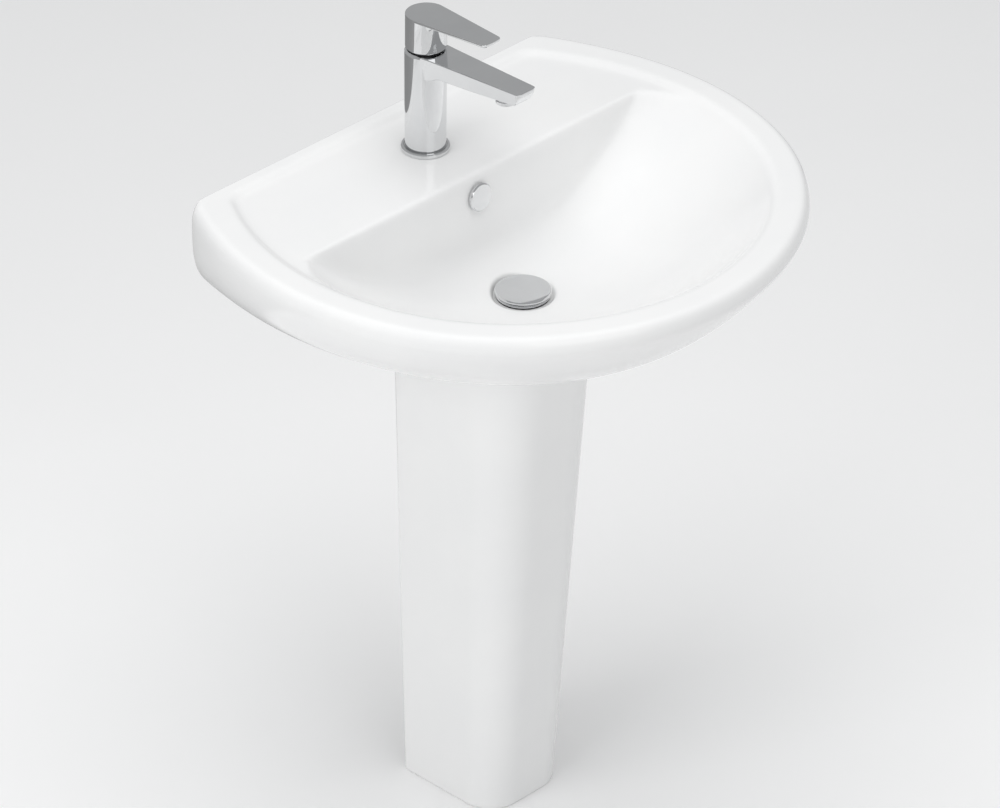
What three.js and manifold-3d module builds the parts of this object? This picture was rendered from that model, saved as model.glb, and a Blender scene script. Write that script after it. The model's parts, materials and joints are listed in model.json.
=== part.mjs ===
// Pedestal wash basin: a D-shaped vitreous china basin with a single-lever mixer on its deck,
// a click-clack waste with a bottle trap, hung on two wall bolts and carried by a tapered pedestal.
// Millimetres, +Z up, floor at z = 0, wall plane at +Y, the user stands at -Y, symmetric about x = 0.
import * as THREE from "three";
import { mergeVertices } from "three/addons/utils/BufferGeometryUtils.js";
import Module from "manifold-3d";

const wasm = await Module();
wasm.setup();

// ---------------------------------------------------------------- driving dimensions
const K = 0.98; // working units to millimetres for the basin outline tables
const WALL = 278.8; // y of the wall plane (back face of the basin)
const RIM = 807; // z of the flat top of the rim above the floor
const OUTLINE_C = WALL - 180 * K; // centre of the polar outline tables
const FLAT_A = 10; // width of the rolled outer rim edge, seen from above
const ROLL_B = 20; // height of the rolled outer rim edge
const UNDER = 149; // underside of the basin below the rim
const DECK = 5; // deck and bowl edge below the rim
const BOWL = 132; // bottom of the bowl below the rim
const STEP = 8; // width of the slope from the rim down to the deck
const RIDGE_Y = 106.9; // front edge of the deck, top of the bowl's back wall
const LEAN = 5; // degrees the bowl's back wall leans
const WALL_TILT = Math.tan((LEAN * Math.PI) / 180);
const TAP_Y = 187.3; // mixer axis
const DRAIN_Y = 33.3; // waste axis
const OVER_Z = RIM - 34; // overflow centre height
const BODY_R = 23.6; // mixer body radius
const BODY_TOP = RIM + 123; // joint between mixer body and lever hub
const LEVER_TOP = RIM + 168.2; // lever plate over the axis
const REACH = 156.4; // spout length from the mixer axis
const SPOUT_TIP = TAP_Y - REACH; // y of the spout's front edge
const DISH_BACK = 123.5; // how far the dish's own edge runs behind the waste, under the deck
const DISH_HALF = 289.1; // its half width there
const PED_TOP = RIM - UNDER - 1.5; // top edge of the pedestal
const PED_REAR = 156.3; // rear edge of the pedestal walls
const PED_WALL = 12; // pedestal wall thickness
const GAP = 0.3; // clearance between touching pieces

// ---------------------------------------------------------------- materials
const mat = (color, roughness, metalness) =>
  new THREE.MeshStandardMaterial({ color, roughness, metalness });
const CHINA = mat(0xf4f4f2, 0.12, 0.0);
const CHROME = mat(0xd4d7da, 0.07, 1.0);
const STEEL = mat(0xa9adb1, 0.35, 1.0);
const BRASS = mat(0xb9975b, 0.3, 1.0);
const RUBBER = mat(0x1d1e20, 0.8, 0.0);
const PLASTIC = mat(0xe9e9e6, 0.45, 0.0);
const GREY = mat(0x55585c, 0.5, 0.0);

// ---------------------------------------------------------------- solids
function toSolid(geo) {
  const g = geo.clone();
  g.deleteAttribute("normal");
  g.deleteAttribute("uv");
  const m = mergeVertices(g, 1e-4);
  return new wasm.Manifold(
    new wasm.Mesh({
      numProp: 3,
      vertProperties: new Float32Array(m.attributes.position.array),
      triVerts: new Uint32Array(m.index.array),
    }),
  );
}
function toGeo(s) {
  const m = s.getMesh(),
    n = m.numProp,
    v = new Float32Array(m.numVert * 3);
  for (let i = 0; i < m.numVert; i++)
    v.set(m.vertProperties.subarray(i * n, i * n + 3), i * 3);
  return new THREE.BufferGeometry()
    .setAttribute("position", new THREE.BufferAttribute(v, 3))
    .setIndex(new THREE.BufferAttribute(new Uint32Array(m.triVerts), 1));
}
// Closed loft through rings of equal point count, capped with fans.
function loft(rings) {
  const n = rings[0].length,
    v = [],
    t = [];
  rings.forEach((r) => r.forEach((p) => v.push(p[0], p[1], p[2])));
  for (let j = 0; j < rings.length - 1; j++)
    for (let i = 0; i < n; i++) {
      const a = j * n + i,
        b = j * n + ((i + 1) % n),
        c = a + n,
        d = b + n;
      t.push(a, b, d, a, d, c);
    }
  const cap = (j, flip) => {
    const r = rings[j],
      o = v.length / 3,
      s = [0, 0, 0];
    r.forEach((p) => p.forEach((q, k) => (s[k] += q / n)));
    v.push(...s);
    for (let i = 0; i < n; i++) {
      const a = j * n + i,
        b = j * n + ((i + 1) % n);
      flip ? t.push(o, b, a) : t.push(o, a, b);
    }
  };
  cap(0, true);
  cap(rings.length - 1, false);
  const g = new THREE.BufferGeometry();
  g.setAttribute("position", new THREE.BufferAttribute(new Float32Array(v), 3));
  g.setIndex(t);
  let s = toSolid(g);
  if (s.volume() < 0) {
    for (let i = 0; i < t.length; i += 3) [t[i + 1], t[i + 2]] = [t[i + 2], t[i + 1]];
    g.setIndex(t);
    s = toSolid(g);
  }
  return s;
}
// Lathe about a vertical axis; profile is [radius, z] pairs, closed or running axis to axis.
function turn(profile, x = 0, y = 0, z = 0, seg = 28) {
  const g = new THREE.LatheGeometry(
    profile.map((p) => new THREE.Vector2(p[0], p[1])),
    seg,
  );
  g.rotateX(Math.PI / 2);
  let s = toSolid(g);
  if (s.volume() < 0) {
    const h = new THREE.LatheGeometry(
      profile.slice().reverse().map((p) => new THREE.Vector2(p[0], p[1])),
      seg,
    );
    h.rotateX(Math.PI / 2);
    s = toSolid(h);
  }
  return s.translate([x, y, z]);
}
// Ring of rectangular section, radii r0..r1, heights z0..z1.
const ring = (r0, r1, z0, z1, x = 0, y = 0, seg = 28) =>
  turn([[r0, z0], [r1, z0], [r1, z1], [r0, z1], [r0, z0]], x, y, 0, seg);
const rod = (r, z0, z1, x = 0, y = 0, seg = 28) =>
  turn([[0, z0], [r, z0], [r, z1], [0, z1]], x, y, 0, seg);
function box(x0, x1, y0, y1, z0, z1) {
  const g = new THREE.BoxGeometry(x1 - x0, y1 - y0, z1 - z0);
  g.translate((x0 + x1) / 2, (y0 + y1) / 2, (z0 + z1) / 2);
  return toSolid(g);
}
// Hexagon (or n-sided) prism about a vertical axis, given across flats.
const hex = (af, z0, z1, x = 0, y = 0, n = 6) =>
  rod(af / 2 / Math.cos(Math.PI / n), z0, z1, x, y, n);
// Straight prism: outline in (y, z) drawn out along x.
function prismX(pts, x0, x1) {
  const r = (x) => pts.map((p) => [x, p[0], p[1]]);
  return loft([r(x0), r(x1)]);
}
const lay = (s, axis, at) =>
  // turns a solid built along +Z onto +/-Y or +/-X, then moves it
  s
    .rotate(axis === "y" ? [-90, 0, 0] : axis === "-y" ? [90, 0, 0] : axis === "x" ? [0, 90, 0] : [0, -90, 0])
    .translate(at);

const root = new THREE.Group();
root.name = "pedestal_basin";
const nodes = {};
function add(name, solid, material, parent = root) {
  const mesh = new THREE.Mesh(toGeo(solid), material);
  mesh.name = name;
  parent.add(mesh);
  nodes[name] = mesh;
  return mesh;
}

// ---------------------------------------------------------------- basin outline
// Radius against bearing about (0, OUTLINE_C); bearing 0 faces the user.
const INNER = [[0, 350.2], [25, 344.7], [50, 331.5], [75, 313.1], [95, 300], [110, 293.2], [125, 290.8], [180, 290]];
const OUTER = [[0, 389], [25, 383.5], [50, 370.5], [75, 352], [95, 339.5], [110, 334.5], [126, 336], [180, 336]];
function radial(table, deg) {
  const d = Math.abs(deg);
  let i = 0;
  while (i < table.length - 2 && d > table[i + 1][0]) i++;
  const P = (k) => table[Math.max(0, Math.min(table.length - 1, k))];
  const [x0, y0] = P(i),
    [x1, y1] = P(i + 1),
    h = x1 - x0,
    t = (d - x0) / h;
  const slope = (k) => {
    if (k <= 0) return 0;
    const a = P(k - 1),
      b = P(k + 1);
    return (b[1] - a[1]) / (b[0] - a[0]);
  };
  const m0 = slope(i) * h,
    m1 = slope(i + 1) * h,
    t2 = t * t,
    t3 = t2 * t;
  return (
    K *
    ((2 * t3 - 3 * t2 + 1) * y0 + (t3 - 2 * t2 + t) * m0 + (-2 * t3 + 3 * t2) * y1 + (t3 - t2) * m1)
  );
}
const SIDE = 41; // points round the front and sides
const BACK_N = 9; // points along the back edge between the corners
// Outline offset inwards by d: front and sides from the table, straight back edge at y = back.
function outline(table, d, back, corner) {
  const pts = [];
  const end = (() => {
    // bearing where the side curve reaches the back edge, less the corner radius
    let a = 95;
    while (a < 150) {
      const r = radial(table, a) - d;
      if (OUTLINE_C - r * Math.cos((a * Math.PI) / 180) > back - corner) break;
      a += 0.05;
    }
    return a;
  })();
  for (let i = 0; i < SIDE; i++) {
    const a = -end + (2 * end * i) / (SIDE - 1),
      r = radial(table, a) - d,
      t = (a * Math.PI) / 180;
    pts.push([r * Math.sin(t), OUTLINE_C - r * Math.cos(t)]);
  }
  const xe = pts[SIDE - 1][0],
    ye = pts[SIDE - 1][1];
  const c = back - ye,
    xc = xe - c * 0.6;
  const arc = [];
  for (let i = 1; i <= 3; i++) {
    const t = (i / 3) * (Math.PI / 2);
    arc.push([xc + (xe - xc) * Math.cos(t), ye + c * Math.sin(t)]);
  }
  arc.forEach((p) => pts.push(p));
  for (let i = 1; i <= BACK_N; i++) {
    const x = xc * (1 - (2 * i) / (BACK_N + 1));
    pts.push([x, back]);
  }
  arc
    .slice()
    .reverse()
    .forEach((p) => pts.push([-p[0], p[1]]));
  return pts;
}
const bearing = (p) =>
  Math.min(1, (Math.abs((Math.atan2(p[0], -(p[1] - OUTLINE_C)) * 180) / Math.PI) / 126) ** 2);

// ---------------------------------------------------------------- 1 basin
const outEdge = outline(OUTER, 0, WALL, 9);
const flatEdge = outline(OUTER, FLAT_A, WALL - 0.6, 8);
const rings = [];
[0, 0.3, 0.6, 0.85, 1].forEach((u) => {
  const t = (u * Math.PI) / 2,
    s = Math.sin(t),
    z = RIM - ROLL_B * (1 - Math.cos(t));
  rings.push(
    outEdge.map((p, i) => {
      const f = flatEdge[i];
      return [f[0] + (p[0] - f[0]) * s, f[1] + (p[1] - f[1]) * s, z];
    }),
  );
});
[7, 16, 26, 37, 49, 62, 76, 90].forEach((deg) => {
  const t = (deg * Math.PI) / 180;
  rings.push(
    outEdge.map((p) => {
      const u = bearing(p),
        P = 0.753 + (0.962 - 0.753) * u,
        Q = 2.0 + (0.42 - 2.0) * u,
        c = Math.max(Math.cos(t), 0) ** P,
        sx = 0.31 + 0.69 * c,
        sy = 0.57 + 0.43 * c;
      return [
        p[0] * sx,
        WALL - (WALL - p[1]) * sy,
        RIM - ROLL_B - (UNDER - ROLL_B) * Math.sin(t) ** Q,
      ];
    }),
  );
});
let basin = loft(rings);

// deck recess: the whole inside of the rim steps down on a slope
const inTop = outline(INNER, 0, WALL - 17, 3),
  inLow = outline(INNER, STEP, WALL - 17 - STEP, 3);
const recess = loft([
  outline(INNER, -4, WALL - 13, 3).map((p) => [p[0], p[1], RIM + 4]),
  inTop.map((p) => [p[0], p[1], RIM]),
  outline(INNER, STEP * 0.3, WALL - 17 - STEP * 0.3, 3).map((p) => [p[0], p[1], RIM - DECK * 0.22]),
  outline(INNER, STEP * 0.7, WALL - 17 - STEP * 0.7, 3).map((p) => [p[0], p[1], RIM - DECK * 0.78]),
  inLow.map((p) => [p[0], p[1], RIM - DECK]),
]);
basin = basin.subtract(recess);

// bowl: a round dish about the waste, cut off at the back by the leaning wall
const DISH_N = 56;
const dishEdge = [];
for (let i = 0; i < DISH_N; i++) {
  const a = -180 + (360 * i) / DISH_N,
    t = (a * Math.PI) / 180,
    r = radial(INNER, a) - STEP - 0.5;
  const x = r * Math.sin(t),
    dy = OUTLINE_C - r * Math.cos(t) - DRAIN_Y;
  let k = 1;
  if (dy > 0) {
    // behind the waste the dish closes on a rounder curve than the rim does
    const e = 2.7;
    k = Math.min(1, ((Math.abs(x) / DISH_HALF) ** e + (dy / DISH_BACK) ** e) ** (-1 / e));
  }
  dishEdge.push([x * k, DRAIN_Y + dy * k]);
}
const dishRing = (rho, z) =>
  dishEdge.map((p) => [p[0] * rho, DRAIN_Y + (p[1] - DRAIN_Y) * rho, z]);
const dish = loft(
  [[1.012, RIM + 10], [1.012, RIM - DECK + 0.6], [1.0, RIM - DECK - 2], [0.975, 0], [0.93, 0], [0.86, 0], [0.76, 0], [0.64, 0], [0.5, 0], [0.36, 0], [0.22, 0], [0.1, 0]].map(
    ([rho, z]) => dishRing(rho, z || RIM - DECK - 2 - (BOWL - DECK - 2) * (1 - rho ** 2.2)),
  ),
);
const wallAt = (z) => RIDGE_Y - WALL_TILT * (RIM - DECK - z);
// front of this profile is the bowl's back wall, rounded over at the ridge and at the foot
const front = prismX(
  [
    [-320, RIM + 20],
    [RIDGE_Y + 5.5, RIM + 20],
    [RIDGE_Y + 5.5, RIM - DECK + 0.1],
    [RIDGE_Y + 2.2, RIM - DECK - 0.9],
    [RIDGE_Y - 0.2, RIM - DECK - 3.4],
    [wallAt(RIM - 14), RIM - 14],
    [wallAt(RIM - 96), RIM - 96],
    [wallAt(RIM - 110) - 3, RIM - 110],
    [wallAt(RIM - 121) - 12, RIM - 121],
    [wallAt(RIM - 128) - 26, RIM - 128],
    [DRAIN_Y + 8, RIM - BOWL - 0.4],
    [-320, RIM - BOWL - 0.4],
  ],
  -330,
  330,
);
basin = basin.subtract(dish.intersect(front));

// hollow behind the bowl, open underneath, with a rib that carries the overflow channel
const hollow = loft(
  [
    [RIM - DECK - 15, 0],
    [RIM - 190, 3],
  ].map(([z, d]) => {
    const f = 119;
    const half = [[22, f + 16], [26, f], [150, f - 1], [196 - d, f + 2], [214 - d, f + 20], [226 - d, 205], [212 - d, 258], [190, 264]];
    return [
      ...half.map((p) => [p[0], p[1], z]),
      ...half
        .slice()
        .reverse()
        .map((p) => [-p[0], p[1], z]),
    ];
  }),
);
basin = basin.subtract(hollow);
// tap hole, waste seat, waste hole, overflow mouth and channel, wall bolt holes
basin = basin
  .subtract(rod(17.5, RIM - 40, RIM + 10, 0, TAP_Y, 28))
  .subtract(rod(34.5, RIM - 134, RIM - 100, 0, DRAIN_Y, 32))
  .subtract(rod(22.5, RIM - 170, RIM - 120, 0, DRAIN_Y, 28))
  .subtract(lay(rod(10, 0, 22, 0, 0, 20), "y", [0, wallAt(OVER_Z) - 6, OVER_Z]))
  .subtract(rod(6.5, RIM - 141, OVER_Z + 2, 0, 118.5, 12))
  .subtract(lay(rod(4.6, 0, 80, 0, 0, 12), "y", [0, DRAIN_Y + 15, RIM - 141]));
const BOLT_X = 140,
  BOLT_Z = RIM - 72;
[-BOLT_X, BOLT_X].forEach((x) => {
  basin = basin.subtract(lay(rod(8, 0, 40, 0, 0, 16), "y", [x, WALL - 30, BOLT_Z]));
});
add("basin", basin, CHINA);

// ---------------------------------------------------------------- 2 pedestal
const pedW = (z) => 63.7 + ((86 - 63.7) * z) / 658,
  pedF = (z) => 13.2 + ((-29.6 - 13.2) * z) / 658,
  pedR = (z) => 40 + (20 * z) / 658;
function pedRing(z, inset, rear) {
  const w = pedW(z) - inset,
    f = pedF(z) + inset,
    r = Math.max(8, pedR(z) - inset * 0.6),
    p = [];
  p.push([w, rear, z]);
  p.push([w, (rear + f + r) / 2, z]);
  for (let i = 0; i <= 8; i++) {
    const t = (i / 8) * (Math.PI / 2);
    p.push([w - r + r * Math.cos(t), f + r - r * Math.sin(t), z]);
  }
  for (let i = 8; i >= 0; i--) {
    const t = (i / 8) * (Math.PI / 2);
    p.push([-(w - r + r * Math.cos(t)), f + r - r * Math.sin(t), z]);
  }
  p.push([-w, (rear + f + r) / 2, z]);
  p.push([-w, rear, z]);
  return p;
}
let pedestal = loft([pedRing(0, 1.2, PED_REAR), pedRing(1.5, 0, PED_REAR), pedRing(330, 0, PED_REAR), pedRing(PED_TOP, 0, PED_REAR)]);
pedestal = pedestal.subtract(
  loft([pedRing(-5, PED_WALL, PED_REAR + 20), pedRing(330, PED_WALL, PED_REAR + 20), pedRing(PED_TOP + 5, PED_WALL, PED_REAR + 20)]),
);
// two feet inside the rear corners take the floor screws
const FOOT_X = 40,
  FOOT_Y = 136;
[-1, 1].forEach((s) => {
  pedestal = pedestal.add(
    box(Math.min(s * 30, s * 58), Math.max(s * 30, s * 58), FOOT_Y - 15, FOOT_Y + 15, 0.2, 14),
  );
});
[-1, 1].forEach((s) => {
  pedestal = pedestal.subtract(rod(4.2, -2, 20, s * FOOT_X, FOOT_Y, 16));
});
add("pedestal", pedestal, CHINA);
// cushions between pedestal and basin
[["left", -1], ["right", 1]].forEach(([n, s]) => {
  const x = s * 80;
  add("pedestal_pad_" + n, box(x - 4, x + 4, 20, 60, PED_TOP + 0.1, PED_TOP + 1.4), RUBBER);
});
add("pedestal_pad_front", box(-16, 16, -28.5, -21, PED_TOP + 0.1, PED_TOP + 1.4), RUBBER);
[["left", -1], ["right", 1]].forEach(([n, s]) => {
  add(
    "floor_screw_washer_" + n,
    ring(3.6, 8.5, 14 + GAP, 16.5, s * FOOT_X, FOOT_Y, 20),
    PLASTIC,
  );
  add(
    "floor_screw_" + n,
    turn([[0, 1], [2.6, 3], [2.6, 16.5 + GAP], [6.5, 16.5 + GAP], [6.2, 19], [3.4, 20.8], [0, 21.2]], s * FOOT_X, FOOT_Y, 0, 16),
    STEEL,
  );
});

// ---------------------------------------------------------------- wall hangers
[["left", -1], ["right", 1]].forEach(([n, s]) => {
  const x = s * BOLT_X;
  // bolt runs in +Y towards the wall; its thread stands inside the hollow
  add("hanger_bolt_" + n, lay(turn([[0, 0], [4.2, 0], [5, 1], [5, 41], [0, 41]], 0, 0, 0, 16), "y", [x, WALL - 42, BOLT_Z]), STEEL);
  add(
    "hanger_bush_" + n,
    lay(turn([[5.4, 0], [15, 0], [15, 4], [7.6, 4], [7.6, 14], [5.4, 14], [5.4, 0]], 0, 0, 0, 20), "y", [x, WALL - 20.6, BOLT_Z]),
    PLASTIC,
  );
  add(
    "hanger_nut_" + n,
    lay(hex(17, 0, 9).subtract(rod(5.3, -1, 10, 0, 0, 16)), "y", [x, WALL - 30, BOLT_Z]),
    STEEL,
  );
});

// ---------------------------------------------------------------- mixer
const DECK_Z = RIM - DECK;
add("mixer_base_gasket", ring(17, 25.5, DECK_Z + 0.1, DECK_Z + 1.4, 0, TAP_Y, 24), RUBBER);
add(
  "mixer_base_ring",
  turn([[18, 1.7], [25.9, 1.7], [25.9, 0.4], [27.8, 0.4], [28, 0.9], [28, 4.4], [27.2, 5.2], [24.4, 5.5], [24.4, 4.4], [18, 4.4], [18, 1.7]], 0, TAP_Y, DECK_Z, 36),
  CHROME,
);
// body with spout in one casting, bored for the cartridge from above and for the shank from below
const bz0 = DECK_Z + 4.7;
let body = turn(
  [[0, bz0], [23.2, bz0], [23.4, bz0 + 2], [24.1, BODY_TOP - 2.4], [23.2, BODY_TOP - 1.2], [22.4, BODY_TOP], [0, BODY_TOP]],
  0, TAP_Y, 0, 44,
);
// spout: wide flat top, sides leaning in, slanted end
const spoutSec = (y, wTop, wBot, zt, zb) => {
  const e = 1.2;
  return [
    [-wTop + e, y, zt], [wTop - e, y, zt], [wTop, y, zt - e],
    [wBot + 1.5, y, zb + 2.2], [wBot - 1.5, y, zb], [-wBot + 1.5, y, zb], [-wBot - 1.5, y, zb + 2.2], [-wTop, y, zt - e],
  ];
};
const zs = (y) => BODY_TOP + ((TAP_Y - y) * 6.2) / REACH; // spout top rises a little to the tip
const spout = loft([
  spoutSec(TAP_Y - 2, 21.6, 18.0, BODY_TOP - 0.4, BODY_TOP - 34),
  spoutSec(TAP_Y - 24, 20.8, 17.0, zs(TAP_Y - 24), zs(TAP_Y - 24) - 28),
  spoutSec(TAP_Y - 34, 20.3, 16.6, zs(TAP_Y - 34), zs(TAP_Y - 34) - 22.5),
  spoutSec(TAP_Y - 70, 18.7, 14.8, zs(TAP_Y - 70), zs(TAP_Y - 70) - 21.5),
  spoutSec(TAP_Y - 113, 16.7, 13.0, zs(TAP_Y - 113), zs(TAP_Y - 113) - 19.2),
  spoutSec(TAP_Y - 135, 15.7, 12.2, zs(TAP_Y - 135), zs(TAP_Y - 135) - 17.8),
  spoutSec(TAP_Y - 149, 15.0, 11.8, zs(TAP_Y - 149), zs(TAP_Y - 149) - 16.8),
  spoutSec(SPOUT_TIP, 14.6, 13.2, zs(SPOUT_TIP) - 0.4, zs(SPOUT_TIP) - 3.4),
]);
const AER_Y = TAP_Y - 124.4,
  AER_Z = zs(AER_Y) - 19; // lower face of the aerator seat
body = body.add(spout);
body = body
  .subtract(rod(24.9, BODY_TOP, BODY_TOP + 12, 0, TAP_Y, 44)) // room for the lever hub to turn
  .subtract(rod(18.2, BODY_TOP - 42, BODY_TOP + 12, 0, TAP_Y, 32)) // cartridge chamber
  .subtract(rod(19.3, BODY_TOP - 14, BODY_TOP + 12, 0, TAP_Y, 32)) // nut thread
  .subtract(rod(13.5, bz0 - 1, bz0 + 34, 0, TAP_Y, 24)) // shank bore
  .subtract(rod(4, bz0 + 30, BODY_TOP - 40, -7, TAP_Y, 12)) // hot water way
  .subtract(rod(4, bz0 + 30, BODY_TOP - 40, 7, TAP_Y, 12)) // cold water way
  .subtract(lay(rod(4.5, 0, TAP_Y - AER_Y, 0, 0, 16), "y", [0, AER_Y, BODY_TOP - 7])) // way along the spout
  .subtract(rod(11.2, AER_Z - 4, AER_Z + 9.5, 0, AER_Y, 28)) // aerator seat
  .subtract(rod(6, AER_Z + 8, BODY_TOP - 3.5, 0, AER_Y, 16));
add("mixer_body_spout", body, CHROME);

// aerator screwed into the spout from below
add(
  "aerator_housing",
  turn([[7.6, 0], [10.6, 0], [10.9, 0.6], [10.9, 8.8], [9.2, 8.8], [9.2, 1.6], [7.6, 1.6], [7.6, 0]], 0, AER_Y, AER_Z - 2.2, 28),
  CHROME,
);
{
  let ins = rod(8.9, AER_Z - 0.3, AER_Z + 5.6, 0, AER_Y, 24);
  for (let i = 0; i < 6; i++) {
    const t = (i / 6) * Math.PI * 2;
    ins = ins.subtract(rod(1.5, AER_Z - 2, AER_Z + 7, 5 * Math.cos(t), AER_Y + 5 * Math.sin(t), 6));
  }
  add("aerator_insert", ins, PLASTIC);
}

// ceramic cartridge, its retaining nut and its stem
add(
  "cartridge",
  ring(9.2, 17.8, BODY_TOP - 41.5, BODY_TOP - 15, 0, TAP_Y, 28)
    .add(rod(17.8, BODY_TOP - 41.5, BODY_TOP - 33, 0, TAP_Y, 28)),
  PLASTIC,
);
add("cartridge_nut", ring(12, 18.9, BODY_TOP - 13.6, BODY_TOP - 4, 0, TAP_Y, 24), BRASS);
const PIVOT_Z = BODY_TOP - 22; // the lever lifts about a pin this deep in the cartridge
const SCREW_Z = BODY_TOP + 14;
// turret swivels on the cartridge discs; the stem lifts on a pin between its two cheeks
{
  let turret = rod(8.6, BODY_TOP - 32.5, BODY_TOP - 26, 0, TAP_Y, 24);
  [-1, 1].forEach((q) => {
    turret = turret.add(box(Math.min(q * 5.9, q * 8), Math.max(q * 5.9, q * 8), TAP_Y - 2.8, TAP_Y + 2.8, BODY_TOP - 27, BODY_TOP - 19));
  });
  turret = turret.subtract(lay(rod(1.5, 0, 20, 0, 0, 10), "x", [-10, TAP_Y, PIVOT_Z]));
  add("cartridge_turret", turret, PLASTIC);
}
add("cartridge_pin", lay(rod(1.2, 0, 15.6, 0, 0, 10), "x", [-7.8, TAP_Y, PIVOT_Z]), STEEL);
add(
  "cartridge_stem",
  rod(5, BODY_TOP - 24, BODY_TOP + 19, 0, TAP_Y, 16).subtract(lay(rod(1.5, 0, 20, 0, 0, 10), "x", [-10, TAP_Y, PIVOT_Z])),
  STEEL,
);
// dark collar seen as a shadow line between body and lever
add("mixer_collar", ring(15.5, 19.6, BODY_TOP - 3.6, BODY_TOP + 1.8, 0, TAP_Y, 32).subtract(ring(18.9, 22, BODY_TOP - 5, BODY_TOP + 0.3, 0, TAP_Y, 32)), GREY);
// lever: round hub the width of the body with a flat tapering plate on top
const HUB_Z0 = BODY_TOP + 1.8;
const HUB_R = 23.4;
const lz = (y) => LEVER_TOP + ((TAP_Y - y) * 3) / 103.9;
const LEVER_TIP = TAP_Y - 103.9;
let lever = turn(
  [[0, HUB_Z0], [HUB_R - 1.2, HUB_Z0], [HUB_R - 0.2, HUB_Z0 + 1.4], [HUB_R, HUB_Z0 + 4], [HUB_R, LEVER_TOP - 3], [HUB_R - 0.8, LEVER_TOP - 1], [0, LEVER_TOP - 1]],
  0, TAP_Y, 0, 44,
);
const plateRing = (inset, dz) => {
  const p = [],
    r = HUB_R - inset;
  for (let i = 0; i <= 16; i++) {
    const t = -0.12 + ((Math.PI + 0.24) * i) / 16; // round back over the hub
    p.push([r * Math.cos(t), TAP_Y + r * Math.sin(t)]);
  }
  const w = 13.2 - inset,
    c = 4.5;
  [[-w, LEVER_TIP + c + inset], [-w + 1.1, LEVER_TIP + 1.6 + inset], [-w + c, LEVER_TIP + 0.4 + inset], [0, LEVER_TIP - 0.6 + inset],
   [w - c, LEVER_TIP + 0.4 + inset], [w - 1.1, LEVER_TIP + 1.6 + inset], [w, LEVER_TIP + c + inset]].forEach((q) => p.push(q));
  return p.map((q) => [q[0], q[1], lz(q[1]) + dz]);
};
lever = lever.add(loft([plateRing(1.2, -4.6), plateRing(0, -3.6), plateRing(0, -0.5), plateRing(0.5, 0)]));
// blended root under the plate
lever = lever.add(
  loft([
    [[-14, TAP_Y - 10, LEVER_TOP - 14], [14, TAP_Y - 10, LEVER_TOP - 14], [11, TAP_Y - 23, LEVER_TOP - 11], [-11, TAP_Y - 23, LEVER_TOP - 11]],
    [[-18, TAP_Y - 10, LEVER_TOP - 3], [18, TAP_Y - 10, LEVER_TOP - 3], [15, TAP_Y - 36, LEVER_TOP - 2.4], [-15, TAP_Y - 36, LEVER_TOP - 2.4]],
  ]),
);
lever = lever
  .subtract(rod(21, HUB_Z0 - 3, HUB_Z0 + 6, 0, TAP_Y, 32))
  .subtract(rod(5.4, HUB_Z0 - 3, BODY_TOP + 19.4, 0, TAP_Y, 16))
  .subtract(lay(rod(2.6, 0, 30, 0, 0, 12), "y", [0, TAP_Y + 2, SCREW_Z]))
  .subtract(lay(rod(4.2, 0, 6, 0, 0, 16), "y", [0, TAP_Y + 19.7, SCREW_Z]));
add("lever_handle", lever, CHROME);
add("lever_set_screw", lay(rod(2.2, 0, 10, 0, 0, 12), "y", [0, TAP_Y + 6.2, SCREW_Z]), STEEL);
add("lever_screw_plug", lay(turn([[0, 0], [3.9, 0], [3.9, 2.8], [3.4, 3.2], [0, 3.3]], 0, 0, 0, 16), "y", [0, TAP_Y + 20.1, SCREW_Z]), GREY);

// shank, washers and nut that clamp the mixer to the deck, and its two inlets
add("mixer_shank", ring(9.6, 13.1, DECK_Z - 62, DECK_Z + 38, 0, TAP_Y, 24), BRASS);
add("mixer_clamp_gasket", ring(13.6, 24, DECK_Z - 17.6, DECK_Z - 15.2, 0, TAP_Y, 24), RUBBER);
add("mixer_clamp_washer", ring(13.6, 25, DECK_Z - 20, DECK_Z - 17.9, 0, TAP_Y, 24), STEEL);
add("mixer_clamp_nut", hex(36, DECK_Z - 31, DECK_Z - 20.3, 0, TAP_Y).subtract(rod(13.4, DECK_Z - 40, DECK_Z, 0, TAP_Y, 24)), BRASS);
[["hot", -1], ["cold", 1]].forEach(([n, s]) => {
  const x = s * 4.9;
  add(
    n + "_inlet",
    turn([[2.6, DECK_Z - 82], [4.3, DECK_Z - 82], [4.3, DECK_Z - 74], [3.6, DECK_Z - 73], [3.6, bz0 + 28], [2.6, bz0 + 28], [2.6, DECK_Z - 82]], x, TAP_Y, 0, 14),
    STEEL,
  );
});

// ---------------------------------------------------------------- overflow
const OV_Y = wallAt(OVER_Z);
const ovPlace = (s) => s.rotate([90 - LEAN, 0, 0]).translate([0, OV_Y, OVER_Z]);
{
  // cover disc facing the bowl, held by a split sleeve pushed into the hole
  let cover = turn([[0, 1], [15.4, 1], [16.6, 1.6], [16.6, 4.6], [15.2, 6], [0, 6]], 0, 0, 0, 36);
  cover = cover.subtract(box(-4, 4, -18, -13.5, -1, 3.4)).subtract(box(-4, 4, 13.5, 18, -1, 3.4));
  add("overflow_cover", ovPlace(cover), CHROME);
  add("overflow_sleeve", ovPlace(turn([[6, -9], [8, -9], [8, 0.7], [6, 0.7], [6, -9]], 0, 0, 0, 20)), PLASTIC);
}

// ---------------------------------------------------------------- click-clack waste
const SEAT = RIM - 134; // floor of the seat in the bowl
const D = [0, DRAIN_Y];
add("waste_flange_seal", ring(23.6, 30.5, SEAT + 0.1, SEAT + 1.3, ...D, 24), RUBBER);
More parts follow.
